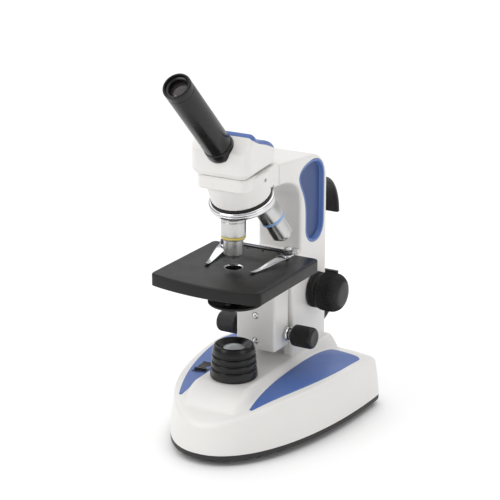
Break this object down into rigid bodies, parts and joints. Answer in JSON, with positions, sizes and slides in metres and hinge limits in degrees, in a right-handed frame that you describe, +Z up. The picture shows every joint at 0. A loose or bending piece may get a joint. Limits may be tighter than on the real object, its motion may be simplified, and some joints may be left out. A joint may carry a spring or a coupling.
{
  "type": "microscope",
  "caption": "Monocular student microscope: inclined eyepiece, revolving nosepiece with objectives, focusing stage with slide clips, built-in lamp, pointed base and rear cord hooks.",
  "frame": {"origin": "middle of the bounding box in plan, at the underside of the feet", "axes": "+Z up along the optical axis, -Y towards the user and the tip of the base, +X to the user's right when facing the arm"},
  "size_m": [0.1744, 0.2922, 0.386],
  "materials": {
    "body_paint": "satin white paint",
    "blue_trim": "satin blue",
    "black_paint": "satin black paint",
    "black_plastic": "satin black",
    "foot_rubber": "matt black",
    "bright_metal": "polished",
    "satin_metal": "satin turned",
    "dark_metal": "blackened",
    "clear_glass": "clear",
    "circuit_board": "green lacquer",
    "yellow_band": "satin yellow",
    "blue_band": "satin light blue",
    "red_band": "satin red"
  },
  "bodies": {
    "stand": {"base_housing": "body_paint", "base_plate": "black_paint", "foot_front_left": "foot_rubber", "foot_front_right": "foot_rubber", "foot_rear_left": "foot_rubber", "foot_rear_right": "foot_rubber", "base_inlay_left": "blue_trim", "base_inlay_right": "blue_trim", "lamp_housing": "black_paint", "lamp_lens": "clear_glass", "lamp_board": "circuit_board", "power_socket": "black_plastic", "arm": "body_paint", "arm_grip_left": "blue_trim", "arm_grip_right": "blue_trim", "cord_hook_upper": "black_plastic", "cord_hook_lower": "black_plastic", "nose": "body_paint", "turret_bearing": "black_plastic", "coarse_collar_left": "black_paint", "coarse_collar_right": "black_paint"},
    "rocker": {"switch_rocker": "black_plastic"},
    "lock": {"lock_screw": "dark_metal"},
    "stop": {"stop_screw": "satin_metal"},
    "head": {"head_housing": "body_paint", "head_inlay": "blue_trim", "tube_collar": "black_plastic", "prism": "clear_glass"},
    "eyepiece_tube": {"eyepiece": "black_paint", "eye_lens": "clear_glass", "field_lens": "clear_glass"},
    "nosepiece": {"turret": "bright_metal", "objective_4x": "satin_metal", "objective_10x": "satin_metal", "objective_40x": "satin_metal", "band_4x": "red_band", "band_10x": "yellow_band", "band_40x": "blue_band", "front_lens_4x": "clear_glass", "front_lens_10x": "clear_glass", "front_lens_40x": "clear_glass"},
    "coarse_drive": {"coarse_shaft": "satin_metal", "coarse_knob_left": "black_plastic", "coarse_knob_right": "black_plastic"},
    "carriage": {"focus_block": "body_paint", "focus_rack": "satin_metal", "block_screw_lower": "bright_metal", "block_screw_upper": "bright_metal"},
    "fine_drive": {"fine_shaft": "bright_metal", "fine_knob_left": "black_plastic", "fine_knob_right": "black_plastic"},
    "specimen_stage": {"stage": "black_paint", "condenser_lens": "clear_glass", "stage_bracket": "body_paint", "clip_post_left": "bright_metal", "clip_post_right": "bright_metal", "tie_bar": "dark_metal"},
    "diaphragm": {"diaphragm_disc": "black_paint"},
    "left_clip": {"clip_left": "bright_metal"},
    "right_clip": {"clip_right": "bright_metal"}
  },
  "joints": [
    {"name": "head_turn", "type": "hinge", "parent": "stand", "child": "head", "pos_m": [0, -0.03848, 0.275], "axis": [0, 0, 1], "continuous": true},
    {"name": "eyepiece_turn", "type": "hinge", "parent": "head", "child": "eyepiece_tube", "pos_m": [0, -0.06438, 0.3043], "axis": [0, -0.7071, 0.7071], "continuous": true},
    {"name": "turret_turn", "type": "hinge", "parent": "stand", "child": "nosepiece", "pos_m": [0, -0.03848, 0.2901], "axis": [0, 0.3198, -0.9475], "continuous": true},
    {"name": "coarse_turn", "type": "hinge", "parent": "stand", "child": "coarse_drive", "pos_m": [0, 0.08012, 0.125], "axis": [-1, 0, 0], "range_deg": [-75, 25]},
    {"name": "carriage_slide", "type": "slide", "parent": "stand", "child": "carriage", "axis": [0, 0, 1], "range_m": [-0.0113, 0.00345]},
    {"name": "fine_turn", "type": "hinge", "parent": "carriage", "child": "fine_drive", "pos_m": [0, 0.02682, 0.0937], "axis": [1, 0, 0], "range_deg": [-90, 90]},
    {"name": "fine_slide", "type": "slide", "parent": "carriage", "child": "specimen_stage", "axis": [0, 0, 1], "range_m": [-0.00069, 0.00069]},
    {"name": "disc_turn", "type": "hinge", "parent": "specimen_stage", "child": "diaphragm", "pos_m": [0.01, -0.05148, 0.15], "axis": [0, 0, 1], "continuous": true},
    {"name": "clip_left_turn", "type": "hinge", "parent": "specimen_stage", "child": "left_clip", "pos_m": [-0.0354, 0.00492, 0.1836], "axis": [0, 0, 1], "range_deg": [-60, 20]},
    {"name": "clip_right_turn", "type": "hinge", "parent": "specimen_stage", "child": "right_clip", "pos_m": [0.0354, 0.00492, 0.1836], "axis": [0, 0, 1], "range_deg": [-20, 60]},
    {"name": "switch_rock", "type": "hinge", "parent": "stand", "child": "rocker", "pos_m": [-0.046, -0.01948, 0.0545], "axis": [1, 0, 0], "range_deg": [0, 6]},
    {"name": "lock_screw_turn", "type": "hinge", "parent": "stand", "child": "lock", "pos_m": [0.02, -0.03148, 0.2684], "axis": [1, 0, 0], "range_deg": [-90, 90]},
    {"name": "stop_screw_turn", "type": "hinge", "parent": "stand", "child": "stop", "pos_m": [0.0213, 0.04452, 0.172], "axis": [0, 0, 1], "range_deg": [-180, 180]}
  ],
  "couplings": [
    {"joint": "coarse_turn", "follows": "carriage_slide", "rad_per_m": 111.11},
    {"joint": "fine_turn", "follows": "fine_slide", "rad_per_m": 2000}
  ]
}
